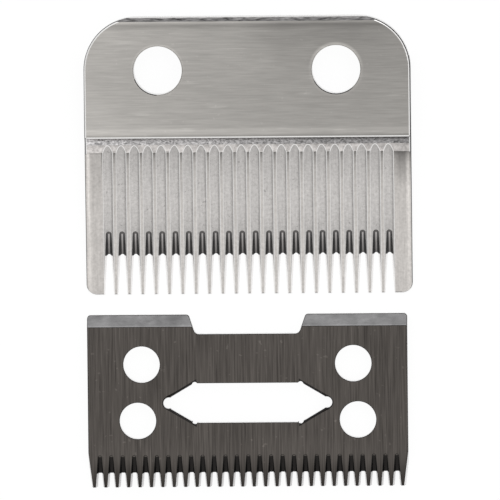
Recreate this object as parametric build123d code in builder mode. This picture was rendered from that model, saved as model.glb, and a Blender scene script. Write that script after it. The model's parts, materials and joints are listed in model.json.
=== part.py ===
from build123d import *
import os
from math import cos, radians, sin, tan

# Hair clipper blade: a fixed comb blade and its moving cutter, taken apart and lying side by side.
# Both lie on their sliding faces, teeth towards -Y, and the origin is under the middle of the pair.
# All sizes are in millimetres and degrees.

# Layout
piece_gap = 2.9
cutter_offset = -0.4

# Fixed blade: mounting plate
blade_length = 39.7
plate_thickness = 2.8
rear_corner_radius = 7.5
rim_round = 0.32
rear_bevel_width = 0.65
rear_bevel_drop = 0.95
screw_spacing = 25.4
screw_hole_diameter = 6.9
screw_hole_break = 0.13
screw_setback = 7.6
step_setback = 17.25

# Fixed blade: comb
comb_pitch = 1.905
comb_gap_count = 22
guard_width = 2.3
guard_corner_radius = 1.5
comb_rim_round = 0.2
comb_slope = 4.2
channel_width = 1.15
channel_side_chamfer = 0.28
tip_thickness = 0.45
groove_width = 1.42
groove_depth = 0.2
groove_runout = 0.02
comb_tooth_length = 5.78
comb_gap_reach = 8.75
comb_gap_floor = 0.61
comb_gap_floor_flat = 0.22
comb_gap_floor_sag = 0.035
comb_gap_slope = 11.3
comb_flank_angle = 17.7

# Fixed blade: hollow of the sliding face
blade_hollow_start = 14.5
blade_hollow_width = 14.0
blade_hollow_depth = 0.15

# Moving cutter: plate
cutter_length = 24.6
cutter_thickness = 1.6
cutter_corner_radius = 0.48
ear_bevel_width = 1.7
ear_bevel_drop = 0.75
notch_mouth = 16.7
notch_floor = 14.8
notch_depth = 2.75
notch_mouth_round = 0.5
notch_floor_round = 0.8

# Moving cutter: holes and drive slot
pin_hole_diameter = 5.2
rear_pin_spacing = 30.2
rear_pin_setback = 7.05
front_pin_spacing = 31.4
front_pin_setback = 15.1
slot_setback = 12.6
slot_width = 5.66
slot_straight = 15.3
slot_neck = 1.4
slot_nose_diameter = 1.6
slot_nose_spacing = 22.5
slot_relief_diameter = 0.8
slot_relief_inset = 0.22
slot_chamfer = 0.3

# Moving cutter: teeth
cutter_pitch = 1.63
cutter_tooth_count = 28
cutter_tooth_length = 1.97
cutter_gap_reach = 4.3
cutter_gap_floor = 0.45
cutter_gap_depth = 0.25
cutter_flank_angle = 8.3
cutter_side_lean = 0.63
cutter_side_reach = 4.95

# Moving cutter: hollow of the sliding face
cutter_hollow_start = 4.5
cutter_hollow_width = 13.0
cutter_hollow_depth = 0.15

# Lengths that follow from the sizes above
layout_length = blade_length + piece_gap + cutter_length
blade_rear = layout_length / 2
cutter_rear = cutter_length - layout_length / 2
blade_width = comb_gap_count * comb_pitch + 2 * guard_width
cutter_width = cutter_tooth_count * cutter_pitch
over = 1.0

# Comb levels, with distances measured forward from the rear edge
comb_fall = tan(radians(comb_slope))
runout_level = tip_thickness - groove_depth - groove_runout
runout_length = blade_length - step_setback - plate_thickness
channel_bottom = (runout_level + runout_length * comb_fall) / (1 - comb_fall)
cove_radius = plate_thickness - channel_bottom
channel_start = step_setback + cove_radius
comb_start = channel_start + channel_width
comb_start_height = tip_thickness + (blade_length - comb_start) * comb_fall
groove_radius = (groove_width**2 / 4 + groove_depth**2) / (2 * groove_depth)
groove_axis_height = channel_bottom + groove_runout + groove_radius

# Tooth gap levels
comb_gap_rise = (comb_gap_reach - comb_tooth_length) * tan(radians(comb_gap_slope))
comb_gap_height = tip_thickness + comb_gap_reach * tan(radians(comb_gap_slope))
comb_gap_mouth = comb_gap_floor + 2 * (comb_gap_height - comb_gap_floor_sag) * tan(radians(comb_flank_angle))
cutter_gap_rise = cutter_thickness - cutter_gap_depth
cutter_gap_fall = cutter_gap_rise / (cutter_gap_reach - cutter_tooth_length)
cutter_gap_height = cutter_thickness + cutter_tooth_length * cutter_gap_fall + over
cutter_gap_mouth = cutter_gap_floor + 2 * cutter_gap_height * tan(radians(cutter_flank_angle))
cutter_gap_start = cutter_rear - cutter_length + cutter_gap_reach
gap_end_sides = 12
gap_end_turn = 180 / gap_end_sides

# Planes on the middle of each rear edge: one seen from above, one from the side with x running forward
blade_plan = Plane(origin=(0, blade_rear, 0))
blade_side = Plane(origin=(0, blade_rear, 0), x_dir=(0, -1, 0), z_dir=(-1, 0, 0))
cutter_plan = Plane(origin=(cutter_offset, cutter_rear, 0))
cutter_side = Plane(origin=(cutter_offset, cutter_rear, 0), x_dir=(0, -1, 0), z_dir=(-1, 0, 0))


def feed_plane(forward_from, rear, height, slope):
    """Plane square to a straight feed that runs forward and down, with y pointing up out of the cut."""
    fall = radians(slope)
    return Plane(
        origin=(0, rear - forward_from, height),
        x_dir=(1, 0, 0),
        z_dir=(0, -cos(fall), -sin(fall)),
    )


groove_plane = feed_plane(channel_start, blade_rear, groove_axis_height, comb_slope)
comb_gap_plane = feed_plane(blade_length - comb_gap_reach, blade_rear, comb_gap_rise, comb_gap_slope)
comb_gap_end = Plane(
    origin=comb_gap_plane.origin + comb_gap_plane.y_dir * comb_gap_floor_sag,
    x_dir=(1, 0, 0),
    z_dir=comb_gap_plane.y_dir,
)
cutter_gap_plane = Plane(
    origin=(cutter_offset, cutter_gap_start, cutter_gap_rise), x_dir=(1, 0, 0), z_dir=(0, -1, 0)
)

# One tooth gap of the comb: a straight tapered pass with a hollow floor that runs down and out, with a
# rounded end
with BuildPart() as comb_gap:
    with BuildSketch(comb_gap_plane):
        Polygon(
            (-comb_gap_floor / 2, comb_gap_floor_sag),
            (-comb_gap_floor_flat / 2, 0),
            (comb_gap_floor_flat / 2, 0),
            (comb_gap_floor / 2, comb_gap_floor_sag),
            (comb_gap_mouth / 2, comb_gap_height),
            (-comb_gap_mouth / 2, comb_gap_height),
            align=None,
        )
    extrude(amount=blade_length)
    with BuildSketch(comb_gap_end):
        RegularPolygon(comb_gap_floor / 2, gap_end_sides, major_radius=False, rotation=gap_end_turn)
    extrude(amount=comb_gap_height, taper=-comb_flank_angle)

# One tooth gap of the cutter, made the same way
with BuildPart() as cutter_gap:
    with BuildSketch(cutter_gap_plane):
        Polygon(
            (-cutter_gap_floor / 2, 0),
            (cutter_gap_floor / 2, 0),
            (cutter_gap_mouth / 2, cutter_gap_height),
            (-cutter_gap_mouth / 2, cutter_gap_height),
            align=None,
        )
    extrude(amount=cutter_length, dir=(0, -1, -cutter_gap_fall))
    with BuildSketch(Plane(origin=cutter_gap_plane.origin)):
        RegularPolygon(cutter_gap_floor / 2, gap_end_sides, major_radius=False, rotation=gap_end_turn)
    extrude(amount=cutter_gap_height, taper=-cutter_flank_angle)

# Chamfers that run round the cove and channel on both sides of the fixed blade
with BuildPart() as channel_sides:
    with BuildSketch(blade_side.offset(blade_width / 2 - channel_side_chamfer)):
        with BuildLine():
            RadiusArc((step_setback, plate_thickness), (channel_start, channel_bottom), -cove_radius)
            Polyline(
                (channel_start, channel_bottom),
                (comb_start, comb_start_height),
                (comb_start, plate_thickness + over),
                (step_setback, plate_thickness + over),
                (step_setback, plate_thickness),
            )
        make_face()
    extrude(amount=2 * channel_side_chamfer, taper=-45)
    mirror(about=Plane.YZ)

# Fixed blade
with BuildPart() as fixed_blade:
    # Plate with rounded corners and a rounded upper rim
    with BuildSketch(blade_plan):
        Rectangle(blade_width, blade_length, align=(Align.CENTER, Align.MAX))
        fillet(vertices().sort_by(Axis.Y)[-2:], rear_corner_radius)
        fillet(vertices().sort_by(Axis.Y)[:2], guard_corner_radius)
    extrude(amount=plate_thickness)
    fillet(faces().sort_by(Axis.Z)[-1].edges(), rim_round)

    # Bevel along the rear edge
    with BuildSketch(blade_side):
        with BuildLine():
            Polyline(
                (0, plate_thickness - rear_bevel_drop),
                (rear_bevel_width, plate_thickness),
                (rear_bevel_width, plate_thickness + over),
                (-over, plate_thickness + over),
                (-over, plate_thickness - rear_bevel_drop),
                close=True,
            )
        make_face()
    extrude(amount=blade_width, both=True, mode=Mode.SUBTRACT)

    # Cove behind the comb, run-out channel and sloping comb face
    with BuildSketch(blade_side):
        with BuildLine():
            RadiusArc(
                (step_setback, plate_thickness), (channel_start, channel_bottom), -cove_radius
            )
            Polyline(
                (channel_start, channel_bottom),
                (comb_start, comb_start_height),
                (blade_length, tip_thickness),
                (blade_length + over, tip_thickness - over * comb_fall),
                (blade_length + over, plate_thickness + over),
                (step_setback, plate_thickness + over),
                (step_setback, plate_thickness),
            )
        make_face()
    extrude(amount=blade_width, both=True, mode=Mode.SUBTRACT)

    # Rounded rim of the comb face
    comb_face = faces().filter_by(GeomType.PLANE).sort_by(Axis.Y)[1]
    fillet(comb_face.edges().sort_by(Axis.Y)[:-1], comb_rim_round)
    add(channel_sides.part, mode=Mode.SUBTRACT)

    # Screw holes
    with Locations(Plane(origin=(0, blade_rear - screw_setback, plate_thickness))):
        with GridLocations(screw_spacing, 0, 2, 1):
            Hole(screw_hole_diameter / 2)
    chamfer(
        edges().filter_by(GeomType.CIRCLE).filter_by_position(
            Axis.Z, plate_thickness - 0.01, plate_thickness + 0.01
        ).filter_by(lambda e: abs(e.radius - screw_hole_diameter / 2) < 0.001),
        screw_hole_break,
    )

    # Grooves down the comb face
    with BuildSketch(groove_plane):
        with GridLocations(comb_pitch, 0, comb_gap_count, 1):
            Circle(groove_radius)
    extrude(amount=blade_length, mode=Mode.SUBTRACT)

    # Tooth gaps
    with GridLocations(comb_pitch, 0, comb_gap_count, 1):
        add(comb_gap.part, mode=Mode.SUBTRACT)

    # Hollow ground across the sliding face
    with BuildSketch(blade_side):
        with BuildLine():
            hollow = ThreePointArc(
                (blade_hollow_start, 0),
                (blade_hollow_start + blade_hollow_width / 2, blade_hollow_depth),
                (blade_hollow_start + blade_hollow_width, 0),
            )
            Line(hollow @ 1, hollow @ 0)
        make_face()
    extrude(amount=blade_width, both=True, mode=Mode.SUBTRACT)

# Moving cutter
with BuildPart() as moving_blade:
    # Plate with two ears and a notch between them
    with BuildSketch(cutter_plan):
        Rectangle(cutter_width, cutter_length, align=(Align.CENTER, Align.MAX))
        Polygon(
            (-notch_mouth / 2, 0),
            (-notch_floor / 2, -notch_depth),
            (notch_floor / 2, -notch_depth),
            (notch_mouth / 2, 0),
            align=None,
            mode=Mode.SUBTRACT,
        )
        fillet(vertices().group_by(Axis.Y)[-2], notch_floor_round)
        fillet(vertices().group_by(Axis.Y)[-1].sort_by(Axis.X)[1:-1], notch_mouth_round)
        fillet(vertices().group_by(Axis.Y)[-1].sort_by(Axis.X)[::3], cutter_corner_radius)
    extrude(amount=cutter_thickness)

    # Bevel across the rear of the ears
    with BuildSketch(cutter_side):
        Polygon(
            (0, cutter_thickness - ear_bevel_drop),
            (ear_bevel_width, cutter_thickness),
            (ear_bevel_width, cutter_thickness + over),
            (-over, cutter_thickness + over),
            (-over, cutter_thickness - ear_bevel_drop),
            align=None,
        )
    extrude(amount=cutter_width, both=True, mode=Mode.SUBTRACT)

    # Pin holes
    with Locations(Plane(origin=(cutter_offset, cutter_rear - rear_pin_setback, cutter_thickness))):
        with GridLocations(rear_pin_spacing, 0, 2, 1):
            Hole(pin_hole_diameter / 2)
    with Locations(Plane(origin=(cutter_offset, cutter_rear - front_pin_setback, cutter_thickness))):
        with GridLocations(front_pin_spacing, 0, 2, 1):
            Hole(pin_hole_diameter / 2)

    # Drive slot: sloping ends with round noses, and small reliefs in its four corners
    slot_plane = Plane(origin=(cutter_offset, cutter_rear - slot_setback, 0))
    with BuildSketch(slot_plane):
        Polygon(
            (slot_straight / 2, slot_width / 2),
            (slot_nose_spacing / 2, slot_neck / 2),
            (slot_nose_spacing / 2, -slot_neck / 2),
            (slot_straight / 2, -slot_width / 2),
            (-slot_straight / 2, -slot_width / 2),
            (-slot_nose_spacing / 2, -slot_neck / 2),
            (-slot_nose_spacing / 2, slot_neck / 2),
            (-slot_straight / 2, slot_width / 2),
            align=None,
        )
        with GridLocations(slot_nose_spacing, 0, 2, 1):
            Circle(slot_nose_diameter / 2)
        with GridLocations(slot_straight - slot_relief_inset, slot_width - 2 * slot_relief_inset, 2, 2):
            Circle(slot_relief_diameter / 2)
    extrude(amount=cutter_thickness, mode=Mode.SUBTRACT)
    with BuildSketch(slot_plane.offset(cutter_thickness - slot_chamfer)):
        for side in (1, -1):
            Polygon(
                (side * slot_straight / 2, slot_width / 2),
                (side * slot_straight / 2, -slot_width / 2),
                (side * slot_nose_spacing / 2, -slot_neck / 2),
                (side * slot_nose_spacing / 2, slot_neck / 2),
                align=None,
            )
    extrude(amount=2 * slot_chamfer, taper=-45, mode=Mode.SUBTRACT)

    # Tooth gaps
    with GridLocations(cutter_pitch, 0, cutter_tooth_count - 1, 1):
        add(cutter_gap.part, mode=Mode.SUBTRACT)

    # Outer flanks of the end teeth, leaning in towards the tips
    with BuildSketch(Plane(origin=(cutter_offset, cutter_rear - cutter_length, cutter_thickness))):
        for side in (1, -1):
            Polygon(
                (side * cutter_width / 2, cutter_side_reach),
                (side * (cutter_width / 2 - cutter_side_lean), 0),
                (side * (cutter_width / 2 - cutter_side_lean), -over),
                (side * (cutter_width / 2 + over), -over),
                (side * (cutter_width / 2 + over), cutter_side_reach),
                align=None,
            )
    extrude(amount=-cutter_thickness, taper=cutter_flank_angle, mode=Mode.SUBTRACT)

    # Hollow ground across the sliding face
    with BuildSketch(cutter_side):
        with BuildLine():
            hollow = ThreePointArc(
                (cutter_hollow_start, 0),
                (cutter_hollow_start + cutter_hollow_width / 2, cutter_hollow_depth),
                (cutter_hollow_start + cutter_hollow_width, 0),
            )
            Line(hollow @ 1, hollow @ 0)
        make_face()
    extrude(amount=cutter_width, both=True, mode=Mode.SUBTRACT)

# Export
os.makedirs("parts", exist_ok=True)
fixed_blade.part.label = "fixed_blade"
export_step(fixed_blade.part, "parts/fixed_blade.step")
moving_blade.part.label = "moving_blade"
export_step(moving_blade.part, "parts/moving_blade.step")
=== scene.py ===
import json
import math

import bpy
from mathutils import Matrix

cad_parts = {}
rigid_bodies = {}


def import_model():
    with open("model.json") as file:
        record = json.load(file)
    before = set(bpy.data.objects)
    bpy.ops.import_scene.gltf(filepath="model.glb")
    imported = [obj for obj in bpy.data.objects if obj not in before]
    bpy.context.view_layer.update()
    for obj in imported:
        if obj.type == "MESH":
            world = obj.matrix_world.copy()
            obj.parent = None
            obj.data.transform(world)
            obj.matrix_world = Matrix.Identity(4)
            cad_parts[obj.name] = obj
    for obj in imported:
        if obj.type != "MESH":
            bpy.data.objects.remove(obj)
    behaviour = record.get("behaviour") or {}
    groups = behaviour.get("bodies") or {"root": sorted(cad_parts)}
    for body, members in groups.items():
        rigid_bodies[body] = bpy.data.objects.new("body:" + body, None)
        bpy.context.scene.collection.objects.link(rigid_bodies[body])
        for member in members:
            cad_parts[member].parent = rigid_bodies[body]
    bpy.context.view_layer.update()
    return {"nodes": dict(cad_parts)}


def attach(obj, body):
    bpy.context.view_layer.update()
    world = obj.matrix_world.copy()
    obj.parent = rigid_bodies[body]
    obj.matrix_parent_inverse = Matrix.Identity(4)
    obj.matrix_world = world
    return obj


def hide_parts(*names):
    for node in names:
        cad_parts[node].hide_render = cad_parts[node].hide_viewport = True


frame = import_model()

MM = 0.001

# Places on the fixed blade, in millimetres, that its finishes and edge breaks follow
PLATE_TOP = 2.8
BLADE_REAR = 33.6
BLADE_SIDE = 23.255
SIDE_RIM = 0.35
STEP_Y = 16.35
STEP_HALF = 22.9
CHANNEL_Y = 15.3
COMB_Y = 14.2
TIP_Y = -6.1
TIP_TOP = 0.45
COMB_FALL = math.tan(math.radians(4.2))
COMB_HALF = 21.2
COMB_GAP_OPEN_Y = -0.5
COMB_GAP_END_Y = 2.9
SCREW_X = 12.7
SCREW_Y = 26.0
SCREW_REACH = 3.7
BLADE_EDGE_BREAK = 0.2

# Places on the cutter, in millimetres
CUTTER_X = -0.4
CUTTER_SIDE = 22.1
CUTTER_REAR = -9.0
EAR_BEVEL_Y = -10.75
SLOT_Y = -21.6
SLOT_NOSE = 11.2
OPENINGS_SIDE = 19.0
OPENINGS_REAR = -13.35
CUTTER_GAP_Y = -28.6
CUTTER_GAP_OPEN_Y = -31.63
CUTTER_GAP_END_Y = -28.5
CUTTER_EDGE_BREAK = 0.16

# A face whose normal rises less than this is a wall
UPRIGHT = 0.12

# Grain, per metre along X, Y and Z
EVEN_GRAIN = (2500, 2500, 2500)
WALL_GRAIN = (400, 400, 5000)
FLANK_GRAIN = (600, 600, 5000)
GAP_GRAIN = (6000, 500, 500)

# Painted sheen along the mounting plate: a painted light band behind the step, and a painted dull band in
# front of the rear bevel
PLATE_SHEEN = (
    (16.55, 0.8), (16.7, 0.8), (16.8, 1.0), (16.95, 1.1), (17.2, 1.14), (17.5, 1.16), (17.75, 1.0),
    (18.1, 0.96), (23.0, 0.93), (31.6, 0.94), (31.95, 0.84), (32.3, 0.71), (32.5, 0.71), (32.8, 1.1),
    (33.0, 1.14),
)

# Painted sheen along the comb ridges: painted shade on the tips, and a painted dark start at the run-out
# channel
COMB_SHEEN = (
    (-6.2, 0.99), (-3.0, 1.03), (0.0, 1.0), (8.0, 0.97), (10.2, 0.9), (12.6, 0.74), (13.6, 0.55),
    (14.0, 0.42), (14.2, 0.3),
)

# Painted sheen along the grooves: lightest in the middle
GROOVE_SHEEN = (
    (2.6, 0.85), (3.3, 0.87), (4.9, 0.955), (7.4, 1.0), (10.2, 0.965), (13.6, 0.84), (15.3, 0.76),
)

# Painted sheen across the channel and the cove: painted light at the left end, painted shade at the right
CHANNEL_SHEEN = (
    (-23.0, 1.22), (-21.4, 1.12), (-20.9, 1.0), (8.0, 1.0), (20.6, 0.95), (21.4, 0.86), (23.2, 0.84),
)
COVE_SHEEN = (
    (-23.0, 1.7), (-21.3, 1.35), (-19.0, 1.24), (-3.0, 1.12), (5.5, 0.85), (14.0, 0.74), (22.8, 0.67),
)

# Painted sheen along the cutter's face: painted shade on the teeth
CUTTER_SHEEN = (
    (-33.6, 0.4), (-32.7, 0.55), (-31.1, 0.8), (-29.6, 1.05), (-28.5, 1.08), (-26.0, 1.0),
)

# Painted sheen along the ear bevels: a painted highlight on the lower edge
EAR_SHEEN = (
    (EAR_BEVEL_Y, 1.4), (EAR_BEVEL_Y + 0.15, 1.25), (EAR_BEVEL_Y + 0.3, 1.0), (CUTTER_REAR, 1.0),
)


# Modelling helpers

def deselect_all():
    for obj in bpy.context.scene.objects:
        obj.select_set(False)


def make_active(obj):
    deselect_all()
    obj.select_set(True)
    bpy.context.view_layer.objects.active = obj


def welded_copy(node, name):
    """A copy of a CAD node's mesh as its own piece, with its loose triangles joined into clean faces."""
    source = frame["nodes"][node]
    piece = bpy.data.objects.new(name, source.data.copy())
    piece.data.name = name
    piece.data.materials.clear()
    bpy.context.scene.collection.objects.link(piece)
    make_active(piece)
    bpy.ops.object.mode_set(mode="EDIT")
    bpy.ops.mesh.select_all(action="SELECT")
    bpy.ops.mesh.remove_doubles(threshold=1e-7)
    bpy.ops.mesh.customdata_custom_splitnormals_clear()
    bpy.ops.mesh.dissolve_limited(angle_limit=math.radians(0.4))
    bpy.ops.object.mode_set(mode="OBJECT")
    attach(piece, "root")
    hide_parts(node)
    return piece


def edge_faces(mesh):
    """For each edge, the faces that meet on it."""
    found = {}
    for face in mesh.polygons:
        for key in face.edge_keys:
            found.setdefault(key, []).append(face)
    return found


def stands_out(mesh, edge, a, b):
    """Whether the edge between faces a and b points out of the metal, by the way it runs round face a."""
    corners = list(a.vertices)
    first, last = edge.vertices
    if corners[(corners.index(first) + 1) % len(corners)] != last:
        first, last = last, first
    return a.normal.cross(b.normal).dot(mesh.vertices[last].co - mesh.vertices[first].co) > 0


def weigh_edges(mesh, weight_of, least):
    """Gives each outer edge that turns by least degrees the bevel weight that weight_of says."""
    layer = mesh.attributes.new("bevel_weight_edge", "FLOAT", "EDGE")
    faces = edge_faces(mesh)
    for edge in mesh.edges:
        pair = faces[tuple(sorted(edge.vertices))]
        if len(pair) != 2:
            continue
        a, b = pair
        if a.normal.angle(b.normal, 0.0) < math.radians(least) or not stands_out(mesh, edge, a, b):
            continue
        ends = [mesh.vertices[i].co / MM for i in edge.vertices]
        layer.data[edge.index].value = weight_of((ends[0] + ends[1]) / 2, a.normal, b.normal)


def break_edges(piece, width_mm, weight_of, edge_finish, least=18):
    """Rounds the outer edges that turn by least degrees, each by its share of width_mm."""
    weigh_edges(piece.data, weight_of, least)
    make_active(piece)
    bpy.ops.object.shade_smooth_by_angle(angle=math.radians(18))
    bevel = piece.modifiers.new("edge_break", "BEVEL")
    bevel.limit_method = "WEIGHT"
    bevel.offset_type = "OFFSET"
    bevel.width = width_mm * MM
    bevel.segments = 2
    bevel.use_clamp_overlap = False
    bevel.loop_slide = False
    bevel.harden_normals = True
    bevel.material = list(piece.data.materials).index(bpy.data.materials[edge_finish])
    bpy.ops.object.modifier_apply(modifier=bevel.name)


def finish_faces(piece, finishes, pick):
    """Gives each face the finish that pick names for its middle (in mm) and normal."""
    order = list(finishes)
    for name in order:
        piece.data.materials.append(finishes[name])
    for face in piece.data.polygons:
        face.material_index = order.index(pick(face.center / MM, face.normal))


# Material helpers

def add_node(tree, kind, **inputs):
    node = tree.nodes.new(kind)
    for name, value in inputs.items():
        node.inputs[name].default_value = value
    return node


def maths(tree, operation, a, b, clamp=False):
    """The result of one operation on two values."""
    node = tree.nodes.new("ShaderNodeMath")
    node.operation = operation
    node.use_clamp = clamp
    tree.links.new(a, node.inputs[0])
    tree.links.new(b, node.inputs[1])
    return node.outputs["Value"]


def spread(tree, value, low, high, to_low, to_high):
    """Maps a value from one range to another, held at both ends."""
    node = add_node(
        tree, "ShaderNodeMapRange",
        **{"From Min": low, "From Max": high, "To Min": to_low, "To Max": to_high},
    )
    tree.links.new(value, node.inputs["Value"])
    return node.outputs["Result"]


def object_grain(tree, scale, detail):
    """Noise on object coordinates, stretched by scale (per metre along X, Y and Z)."""
    place = tree.nodes.new("ShaderNodeTexCoord")
    stretch = add_node(tree, "ShaderNodeMapping", Scale=scale)
    noise = add_node(tree, "ShaderNodeTexNoise", Scale=1.0, Detail=detail, Roughness=0.6)
    tree.links.new(place.outputs["Object"], stretch.inputs["Vector"])
    tree.links.new(stretch.outputs["Vector"], noise.inputs["Vector"])
    return noise.outputs["Fac"]


def grey_ramp(tree, value, stops):
    """A grey level that follows a value through (place from 0 to 1, level) stops."""
    ramp = tree.nodes.new("ShaderNodeValToRGB")
    tree.links.new(value, ramp.inputs["Fac"])
    elements = ramp.color_ramp.elements
    while len(elements) < len(stops):
        elements.new(0.5)
    for element, (place, level) in zip(elements, stops):
        element.position = place
        element.color = (level, level, level, 1.0)
    return ramp.outputs["Color"]


# Shades: each makes a value near 1 that lightens or darkens the metal

def grain(scale, depth, detail=3.0):
    """Streaks or mottling; scale is per metre along X, Y and Z."""
    def shade(tree):
        return spread(tree, object_grain(tree, scale, detail), 0.25, 0.75, 1.0 - depth, 1.0 + depth)
    return shade


def marks(scale, limit, lift):
    """Sparse scratches or specks, lighter by lift, where the noise passes a limit."""
    def shade(tree):
        return spread(tree, object_grain(tree, scale, 1.0), limit, limit + 0.05, 1.0, 1.0 + lift)
    return shade


def run(axis, stops_mm):
    """A change of shade along one axis, through (millimetre, level) stops."""
    first, last = stops_mm[0][0], stops_mm[-1][0]
    stops = [((mm - first) / (last - first), level) for mm, level in stops_mm]

    def shade(tree):
        place = tree.nodes.new("ShaderNodeTexCoord")
        split = tree.nodes.new("ShaderNodeSeparateXYZ")
        tree.links.new(place.outputs["Object"], split.inputs["Vector"])
        return grey_ramp(tree, spread(tree, split.outputs[axis], first * MM, last * MM, 0.0, 1.0), stops)
    return shade


def patch(x_stops, y_stops, lift):
    """A soft patch, lighter by lift, where a shade along X and a shade along Y overlap."""
    def shade(tree):
        cover = maths(tree, "MULTIPLY", run("X", x_stops)(tree), run("Y", y_stops)(tree))
        return spread(tree, cover, 0.0, 1.0, 1.0, 1.0 + lift)
    return shade


def painted_highlight_ring(x, y, reach, lift):
    """A soft painted highlight ring from a hole's edge out to reach, strongest along the rear of the hole.
    """
    def shade(tree):
        place = tree.nodes.new("ShaderNodeTexCoord")
        away = tree.nodes.new("ShaderNodeVectorMath")
        away.operation = "DISTANCE"
        away.inputs[1].default_value = (x * MM, y * MM, PLATE_TOP * MM)
        tree.links.new(place.outputs["Object"], away.inputs[0])
        near = spread(tree, away.outputs["Value"], (reach - 0.45) * MM, reach * MM, 1.0, 0.0)
        cover = maths(tree, "MULTIPLY", near, run("Y", ((y, 0.2), (y + 2.6, 1.0)))(tree))
        return spread(tree, cover, 0.0, 1.0, 1.0, 1.0 + lift)
    return shade


def tinted(tree, colour, level):
    """A colour multiplied by a grey level."""
    tint = tree.nodes.new("ShaderNodeMix")
    tint.data_type = "RGBA"
    tint.blend_type = "MULTIPLY"
    tint.inputs["Factor"].default_value = 1.0
    tint.inputs["A"].default_value = (*colour, 1.0)
    tree.links.new(level, tint.inputs["B"])
    return tint.outputs["Result"]


def steel(name, colour, gloss, shades, bump=0.25, metal_or_painted_shade=1.0):
    """Steel of one colour under some shades, the first of which also gives its roughness and relief.

    The last argument is 1 for bare reflecting metal, 0 for painted shade that reflects nothing, or a shade
    that says where it is which.
    """
    material = bpy.data.materials.new(name)
    material.use_nodes = True
    tree = material.node_tree
    shader = tree.nodes["Principled BSDF"].inputs
    shader["Specular IOR Level"].default_value = 0.0
    if callable(metal_or_painted_shade):
        tree.links.new(metal_or_painted_shade(tree), shader["Metallic"])
    else:
        shader["Metallic"].default_value = metal_or_painted_shade
    first = shades[0](tree)
    level = first
    for shade in shades[1:]:
        level = maths(tree, "MULTIPLY", level, shade(tree))
    tree.links.new(tinted(tree, colour, level), shader["Base Color"])
    tree.links.new(spread(tree, first, 0.85, 1.15, gloss - 0.05, gloss + 0.05), shader["Roughness"])
    relief = add_node(tree, "ShaderNodeBump", Strength=bump, Distance=0.004 * MM)
    tree.links.new(first, relief.inputs["Height"])
    tree.links.new(relief.outputs["Normal"], shader["Normal"])
    return material


def flank_steel(name, colour, open_y, dark, end_y, end_dark):
    """Sides of a tooth gap: lighter in front of its opening as painted light, and darkened with painted
    shade from there to its end.
    """
    front, rear = open_y - 0.1, open_y + 0.05
    middle = (rear + end_y) / 2
    darkening = ((front, 1.0), (rear, dark), (middle, dark), (end_y, end_dark))
    return steel(
        name, colour, 0.35, [grain(FLANK_GRAIN, 0.1), run("Y", darkening)],
        metal_or_painted_shade=run("Y", ((front, 1.0), (rear, 0.0))),
    )


def rim_steel(name, split_z):
    """A rounded upper rim: painted shade on its outer part, and a painted highlight above the height
    split_z.
    """
    low, high = split_z - 0.005, split_z + 0.005
    return steel(
        name, (0.86, 0.85, 0.84), 0.22, [grain(EVEN_GRAIN, 0.05), run("Z", ((low, 0.02), (high, 1.0)))],
        metal_or_painted_shade=run("Z", ((low, 0.0), (high, 1.0))),
    )


def lined_steel(name, line_x):
    """A bevel on both sides of the blade carrying a painted highlight, with a painted dark line of shade
    outside line_x.
    """
    inside, outside = line_x - 0.01, line_x + 0.01
    darkening = ((-outside, 0.05), (-inside, 1.0), (inside, 1.0), (outside, 0.05))
    return steel(
        name, (0.98, 0.975, 0.97), 0.22, [grain(EVEN_GRAIN, 0.05), run("X", darkening)],
        metal_or_painted_shade=run("X", ((-outside, 0.0), (-inside, 1.0), (inside, 1.0), (outside, 0.0))),
    )


# Fixed blade

def plate_steel():
    """Satin steel ground along X, with painted sheen lighter to the left and in bands along Y, darker at its
    rear right, and with painted highlight rings behind the screw holes.
    """
    return steel("plate_satin_steel", (0.50, 0.482, 0.456), 0.32, [
        grain((260, 4500, 260), 0.12),
        grain((70, 180, 70), 0.06, 2.0),
        marks((1700, 1700, 1700), 0.71, 0.08),
        marks((150, 2600, 150), 0.68, 0.12),
        run("X", ((-23.3, 0.95), (-8.0, 0.81), (6.0, 0.74), (23.3, 0.655))),
        run("Y", PLATE_SHEEN),
        patch(
            ((-2.0, 0.0), (5.0, 0.9), (10.0, 1.0), (15.0, 1.0), (21.0, 0.35)),
            ((25.0, 0.0), (27.5, 0.4), (28.8, 0.5), (30.3, 1.0)), -0.225,
        ),
        painted_highlight_ring(-SCREW_X, SCREW_Y, 3.9, 0.35),
        painted_highlight_ring(SCREW_X, SCREW_Y, 4.0, 0.75),
    ])


def guard_painted_shades():
    """Painted light and shade on the end guards: a painted light left start, a painted dull right start, and
    a painted highlight band on each outside.
    """
    return [
        patch(
            ((-21.0, 1.0), (-20.85, 0.0)),
            ((10.2, 0.0), (12.6, 0.13), (13.6, 0.49), (14.0, 0.95), (14.2, 1.67)), 1.0,
        ),
        patch(((20.85, 0.0), (21.5, 1.0)), ((9.0, 0.0), (13.0, 1.0)), -0.3),
        patch(
            ((-23.05, 0.2), (-22.9, 0.8), (-22.82, 1.0), (-22.7, 1.0), (-22.5, 0.25), (-22.25, 0.0)),
            ((-5.0, 0.35), (2.5, 0.45), (9.8, 0.75), (12.8, 1.0)), 0.65,
        ),
        patch(
            ((22.35, 0.0), (22.65, 0.6), (22.78, 1.0), (22.9, 1.0), (23.0, 0.45), (23.06, 0.2)),
            ((-5.0, 0.22), (2.5, 0.3), (9.8, 0.55), (12.8, 1.0)), 0.9,
        ),
    ]


def comb_steels():
    """Ridges and grooves, both ground along Y, each with painted sheen along it."""
    streaks = grain((4500, 260, 260), 0.10)
    mottling = grain((2600, 2600, 2600), 0.13, 2.0)
    return {
        "comb": steel("comb_ridge_steel", (0.55, 0.525, 0.502), 0.32, [
            streaks, grain((260, 110, 110), 0.05, 2.0), mottling, run("Y", COMB_SHEEN), *guard_painted_shades(),
        ]),
        "groove": steel("comb_groove_steel", (0.545, 0.527, 0.513), 0.24, [
            streaks, mottling, marks((1900, 1900, 1900), 0.70, -0.25), run("Y", GROOVE_SHEEN),
        ]),
    }


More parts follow.
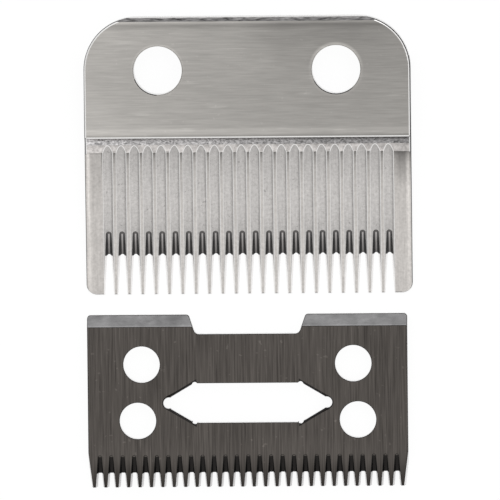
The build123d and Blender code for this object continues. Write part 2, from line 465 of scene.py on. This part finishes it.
def step_steels():
    """The run-out channel, its side bevels, and the rough cove behind it; the channel and cove carry painted
    sheen across them and painted shade towards the step.
    """
    return {
        "channel": steel("channel_steel", (0.56, 0.534, 0.518), 0.32, [
            grain((1900, 1900, 1900), 0.38),
            run("X", CHANNEL_SHEEN),
            run("Y", ((14.2, 1.0), (14.7, 1.0), (15.05, 0.92), (15.3, 0.84))),
        ]),
        "channel_side": lined_steel("channel_side_steel", 23.16),
        "cove": steel("cove_rough_steel", (0.40, 0.39, 0.39), 0.42, [
            grain((3000, 4200, 3000), 0.85, 2.0),
            grain((350, 900, 350), 0.15, 2.0),
            run("X", COVE_SHEEN),
            run("Y", ((15.3, 1.0), (15.9, 0.9), (16.36, 0.85))),
        ], 0.5),
    }


def comb_gap_steels():
    """The tooth gaps, with floors darkened as painted shade, a painted highlight and then a painted dark
    closing line near each floor's end, and the tooth tips.
    """
    return {
        "gap_floor": steel("comb_gap_floor_steel", (0.30, 0.285, 0.278), 0.35, [
            grain(GAP_GRAIN, 0.2),
            run("Y", (
                (COMB_GAP_OPEN_Y, 0.5), (0.5, 0.8), (1.4, 1.0), (2.55, 1.5), (2.64, 0.4),
                (COMB_GAP_END_Y, 0.4),
            )),
        ]),
        "gap_flank": flank_steel(
            "comb_gap_flank_steel", (0.88, 0.86, 0.85), COMB_GAP_OPEN_Y, 0.07, COMB_GAP_END_Y, 0.15,
        ),
        "tip": steel("tooth_tip_steel", (0.6, 0.585, 0.58), 0.35, [grain(EVEN_GRAIN, 0.15)]),
    }


def blade_edge_steels():
    """The rear bevel, the broken edges, the walls and the screw holes, carrying painted shade and painted
    highlights.
    """
    return {
        # Rear bevel: its dark colour is painted shade and its lift towards the lower edge a painted
        # highlight; the speckle is grain
        "rear": steel("rear_edge_steel", (0.185, 0.18, 0.18), 0.42, [
            grain((900, 3500, 3500), 1.0, 2.0),
            run("Z", ((1.85, 1.9), (2.2, 1.3), (2.55, 0.95), (2.8, 1.0))),
        ], 0.5),
        # Edge breaks lighter than the plate's own steel: a painted highlight
        "bright": steel("bright_edge_steel", (0.78, 0.77, 0.76), 0.22, [grain(EVEN_GRAIN, 0.05)]),
        # Dark rims and arcs: painted shade that reflects nothing
        "rim": steel("dark_rim_steel", (0.06, 0.058, 0.057), 0.4, [grain(EVEN_GRAIN, 0.15)], metal_or_painted_shade=0.0),
        # Lit and shaded copies of one rim: the painted shade reaches higher on the right rim than on the
        # left
        "left_rim": rim_steel("left_rim_steel", 2.70),
        "right_rim": rim_steel("right_rim_steel", 2.74),
        # Lit and shaded copies of the walls: side walls darker as painted shade, rear wall and bores lighter
        # as painted light
        "wall": steel("side_wall_steel", (0.34, 0.333, 0.327), 0.34, [grain(WALL_GRAIN, 0.12)]),
        "rear_wall": steel("rear_wall_steel", (0.76, 0.752, 0.745), 0.32, [grain(WALL_GRAIN, 0.08)]),
        "bore": steel("screw_hole_steel", (0.82, 0.815, 0.81), 0.3, [grain(WALL_GRAIN, 0.06)]),
    }


def fixed_blade_finishes():
    return {
        "plate": plate_steel(),
        **comb_steels(),
        **step_steels(),
        **comb_gap_steels(),
        **blade_edge_steels(),
    }


def comb_level(y):
    """Height of the comb face above the floor, at a place along Y."""
    return TIP_TOP + (y - TIP_Y) * COMB_FALL


def near_screw_hole(middle):
    return math.hypot(abs(middle.x) - SCREW_X, middle.y - SCREW_Y) < SCREW_REACH


def screw_hole_finish(middle, normal):
    """Bores lightened as painted light, with a dark arc of painted shade along the front of each broken
    edge.
    """
    if normal.z < UPRIGHT:
        return "bore"
    facing = math.degrees(math.atan2(normal.y, normal.x))
    first, last = (20, 90) if middle.x < 0 else (30, 130)
    return "rim" if normal.z < 0.9 and first < facing < last else "plate"


def plate_finish(middle, normal):
    if near_screw_hole(middle):
        return screw_hole_finish(middle, normal)
    if abs(normal.y - 0.825) < 0.03 and abs(normal.x) < 0.03:
        return "rear"
    if normal.z < UPRIGHT:
        return "rear_wall" if normal.y > 0.25 else "wall"
    # Left and right rims take lit and shaded copies, with painted shade higher on the right
    if normal.z < 0.985:
        return "left_rim" if middle.x < 0 else "right_rim"
    return "plate"


def comb_gap_finish(normal):
    return "gap_floor" if abs(normal.x) < 0.12 and normal.z > 0.9 else "gap_flank"


def comb_finish(middle, normal):
    if middle.y < TIP_Y + 0.25 and normal.y < -0.3:
        return "tip"
    in_comb = abs(middle.x) < COMB_HALF + 0.1
    in_gap = in_comb and middle.y < COMB_GAP_END_Y + 0.5
    if in_gap and (abs(normal.x) > 0.85 or normal.y < -0.12):
        return comb_gap_finish(normal)
    if normal.z < UPRIGHT:
        return "wall"
    if abs(middle.x) > BLADE_SIDE - SIDE_RIM and normal.z < 0.8:
        return "channel_side" if middle.y > COMB_Y - 0.7 else "rim"
    if middle.y > COMB_Y - 0.02 and normal.y > 0.05:
        return "channel"
    if in_comb and (abs(normal.x) > 0.05 or middle.z < comb_level(middle.y) - 0.012):
        return "groove"
    return "comb"


def fixed_blade_finish(middle, normal):
    if normal.z < -0.05:
        return "plate"
    if middle.y > STEP_Y - 0.02:
        return plate_finish(middle, normal)
    if middle.y > CHANNEL_Y and abs(middle.x) <= BLADE_SIDE - SIDE_RIM:
        return "cove"
    return comb_finish(middle, normal)


def fixed_blade_edge(middle, n1, n2):
    """Shares of the edge break: the step, the lower rear edge, the ridges and the arches of the grooves."""
    if abs(middle.y - STEP_Y) < 0.02 and middle.z > PLATE_TOP - 0.05 and abs(middle.x) < STEP_HALF:
        return 0.9
    if middle.y > BLADE_REAR - 0.05 and max(n1.z, n2.z) > 0.5:
        return 1.0
    if abs(middle.x) > COMB_HALF:
        return 0.0
    if COMB_GAP_END_Y + 0.3 < middle.y < COMB_Y - 0.5 and max(n1.z, n2.z) > 0.99:
        return 0.25 if min(n1.x, n2.x) < -0.2 else 0.12
    if COMB_Y + 0.05 < middle.y < CHANNEL_Y and max(n1.y, n2.y) > 0.1 and min(n1.y, n2.y) < 0:
        return 0.26
    return 0.0


def build_fixed_blade():
    piece = welded_copy("fixed_blade", "fixed_blade_steel")
    finish_faces(piece, fixed_blade_finishes(), fixed_blade_finish)
    # The edge breaks take bright_edge_steel, a painted highlight
    break_edges(piece, BLADE_EDGE_BREAK, fixed_blade_edge, "bright_edge_steel", least=10)


# Moving cutter

def cutter_face_steel():
    """Dark steel ground along Y, with a few scratches and specks, painted shade towards its right end and
    painted sheen along Y.
    """
    return steel("cutter_dark_steel", (0.088, 0.079, 0.072), 0.36, [
        grain((4800, 140, 140), 0.45),
        grain((110, 50, 50), 0.08, 2.0),
        marks((1500, 60, 60), 0.69, 0.35),
        marks((1500, 1500, 1500), 0.71, 0.4),
        run("X", ((-23.3, 1.0), (5.0, 1.0), (22.5, 0.93))),
        run("Y", CUTTER_SHEEN),
    ])


def cutter_finishes():
    return {
        "face": cutter_face_steel(),
        # Ear bevels: painted shade towards the right end and a painted highlight along the lower edge
        "bevel": steel("ear_bevel_steel", (0.195, 0.193, 0.195), 0.4, [
            grain((900, 2200, 2200), 0.3),
            grain((350, 350, 350), 0.3, 2.0),
            run("X", ((-22.0, 1.0), (0.0, 1.0), (22.0, 0.92))),
            run("Y", EAR_SHEEN),
        ]),
        # Gap floors darkened as painted shade; flanks lighter in front of the opening as painted light,
        # painted shade behind
        "gap_floor": steel("cutter_gap_floor_steel", (0.025, 0.023, 0.022), 0.35, [grain(GAP_GRAIN, 0.2)]),
        "gap_flank": flank_steel(
            "cutter_gap_flank_steel", (0.62, 0.61, 0.605), CUTTER_GAP_OPEN_Y, 0.022, CUTTER_GAP_END_Y, 0.022,
        ),
        # Outer flanks of the end teeth lightened as painted light
        "end_flank": steel("end_flank_steel", (0.8, 0.79, 0.785), 0.35, [grain(FLANK_GRAIN, 0.1)]),
        # Dark edges: painted shade that reflects nothing; the cutter's edge breaks take it too
        "edge": steel("cutter_edge_steel", (0.03, 0.028, 0.027), 0.4, [grain(EVEN_GRAIN, 0.15)], metal_or_painted_shade=0.0),
        # Lit and shaded copies of the walls: holes, slot and rear walls lighter as painted light, side walls
        # greyer
        "bore": steel("cutter_hole_steel", (0.85, 0.845, 0.84), 0.3, [grain(EVEN_GRAIN, 0.1)]),
        "wall": steel("cutter_wall_steel", (0.45, 0.44, 0.43), 0.34, [grain(WALL_GRAIN, 0.12)]),
    }


def cutter_gap_finish(normal):
    return "gap_floor" if abs(normal.x) < 0.85 and normal.z > 0.6 else "gap_flank"


def cutter_wall_finish(middle, normal):
    """Holes, slot and rear walls in the copy lightened as painted light, and side walls and tooth tips in
    the greyer copy.
    """
    aside = abs(middle.x - CUTTER_X)
    in_opening = aside < OPENINGS_SIDE and CUTTER_GAP_Y < middle.y < OPENINGS_REAR
    return "bore" if in_opening or normal.y > 0.3 else "wall"


def cutter_finish(middle, normal):
    if normal.z < -0.05 or normal.z > 0.99:
        return "face"
    if normal.y > 0.3 and normal.z > 0.5 and middle.y > EAR_BEVEL_Y:
        return "bevel"
    if abs(middle.x - CUTTER_X) > CUTTER_SIDE and normal.z > 0.03 and middle.y < CUTTER_GAP_Y + 0.6:
        return "end_flank"
    if middle.y < CUTTER_GAP_Y and (abs(normal.x) > 0.85 or normal.y < -0.1) and normal.z > 0.03:
        return cutter_gap_finish(normal)
    return cutter_wall_finish(middle, normal) if normal.z < UPRIGHT else "edge"


def cutter_edge(middle, n1, n2):
    """Shares of the edge break: most round the noses of the slot, least along the teeth."""
    if middle.z < 0.05:
        return 0.0
    past_nose = abs(middle.x - CUTTER_X) - SLOT_NOSE
    if past_nose > 0 and math.hypot(past_nose, middle.y - SLOT_Y) < 1.0:
        return 1.0
    return 0.5 if min(n1.z, n2.z) < UPRIGHT and middle.y > CUTTER_GAP_Y else 0.25


def build_moving_cutter():
    piece = welded_copy("moving_blade", "moving_blade_steel")
    finish_faces(piece, cutter_finishes(), cutter_finish)
    # The edge breaks take cutter_edge_steel, painted dark shade
    break_edges(piece, CUTTER_EDGE_BREAK, cutter_edge, "cutter_edge_steel")


# Stage

def floor_material():
    """A pale floor that is seen as nearly even white, with a little of its own shadow left."""
    material = bpy.data.materials.new("white_floor")
    material.use_nodes = True
    tree = material.node_tree
    tree.nodes.clear()
    output = tree.nodes.new("ShaderNodeOutputMaterial")
    diffuse = add_node(tree, "ShaderNodeBsdfDiffuse", Color=(0.9, 0.9, 0.9, 1.0))
    glow = add_node(tree, "ShaderNodeEmission", Color=(1.0, 1.0, 1.0, 1.0), Strength=1.02)
    rays = tree.nodes.new("ShaderNodeLightPath").outputs
    seen = maths(tree, "ADD", rays["Is Camera Ray"], rays["Is Glossy Ray"], clamp=True)
    mix = tree.nodes.new("ShaderNodeMixShader")
    tree.links.new(spread(tree, seen, 0.0, 1.0, 0.0, 0.9), mix.inputs["Fac"])
    tree.links.new(diffuse.outputs["BSDF"], mix.inputs[1])
    tree.links.new(glow.outputs["Emission"], mix.inputs[2])
    tree.links.new(mix.outputs["Shader"], output.inputs["Surface"])
    return material


def build_floor():
    deselect_all()
    bpy.ops.mesh.primitive_plane_add(size=6.0, location=(0, 0, -0.00005))
    floor = bpy.context.active_object
    floor.name = "floor"
    floor.data.materials.append(floor_material())


def build_world():
    """A studio dome: even overhead and all round, with a dark side low on the left."""
    world = bpy.data.worlds.new("studio_dome")
    bpy.context.scene.world = world
    world.use_nodes = True
    tree = world.node_tree
    background = tree.nodes["Background"]
    place = tree.nodes.new("ShaderNodeTexCoord")
    split = tree.nodes.new("ShaderNodeSeparateXYZ")
    tree.links.new(place.outputs["Generated"], split.inputs["Vector"])
    open_side = grey_ramp(tree, split.outputs["Z"], ((0.0, 0.75), (0.2, 0.9), (0.5, 1.0), (1.0, 1.0)))
    dark_side = grey_ramp(
        tree, split.outputs["Z"],
        ((0.0, 0.8), (0.4, 0.9), (0.5, 0.75), (0.6, 0.5), (0.72, 0.5), (0.84, 0.97), (1.0, 1.0)),
    )
    blend = tree.nodes.new("ShaderNodeMix")
    blend.data_type = "RGBA"
    tree.links.new(spread(tree, split.outputs["X"], -0.8, -0.5, 1.0, 0.0), blend.inputs["Factor"])
    tree.links.new(open_side, blend.inputs["A"])
    tree.links.new(dark_side, blend.inputs["B"])
    tree.links.new(blend.outputs["Result"], background.inputs["Color"])
    background.inputs["Strength"].default_value = 1.0


def build_lamp():
    """A broad soft lamp high behind the rear edges."""
    data = bpy.data.lights.new("rear_softbox", "AREA")
    data.shape = "RECTANGLE"
    data.size = 0.6
    data.size_y = 0.5
    data.energy = 1.0
    lamp = bpy.data.objects.new("rear_softbox", data)
    lamp.location = (0.1, 0.7, 0.8)
    lamp.rotation_euler = (-math.atan2(0.7, 0.8), 0.0, 0.0)
    bpy.context.scene.collection.objects.link(lamp)


def build_camera():
    """Long lens two metres above the pair, a little behind it and to its right, aimed at its middle."""
    data = bpy.data.cameras.new("overhead_camera")
    data.sensor_width = 36.0
    data.lens = 1013.9
    data.clip_start = 0.01
    data.clip_end = 20.0
    camera = bpy.data.objects.new("overhead_camera", data)
    camera.location = (0.0797, 0.1494, 2.0)
    camera.rotation_euler = (math.radians(-4.289), math.radians(2.235), math.radians(-0.596))
    bpy.context.scene.collection.objects.link(camera)
    bpy.context.scene.camera = camera


build_fixed_blade()
build_moving_cutter()
build_floor()
build_world()
build_lamp()
build_camera()
bpy.context.scene.view_settings.view_transform = "Standard"
bpy.context.view_layer.update()
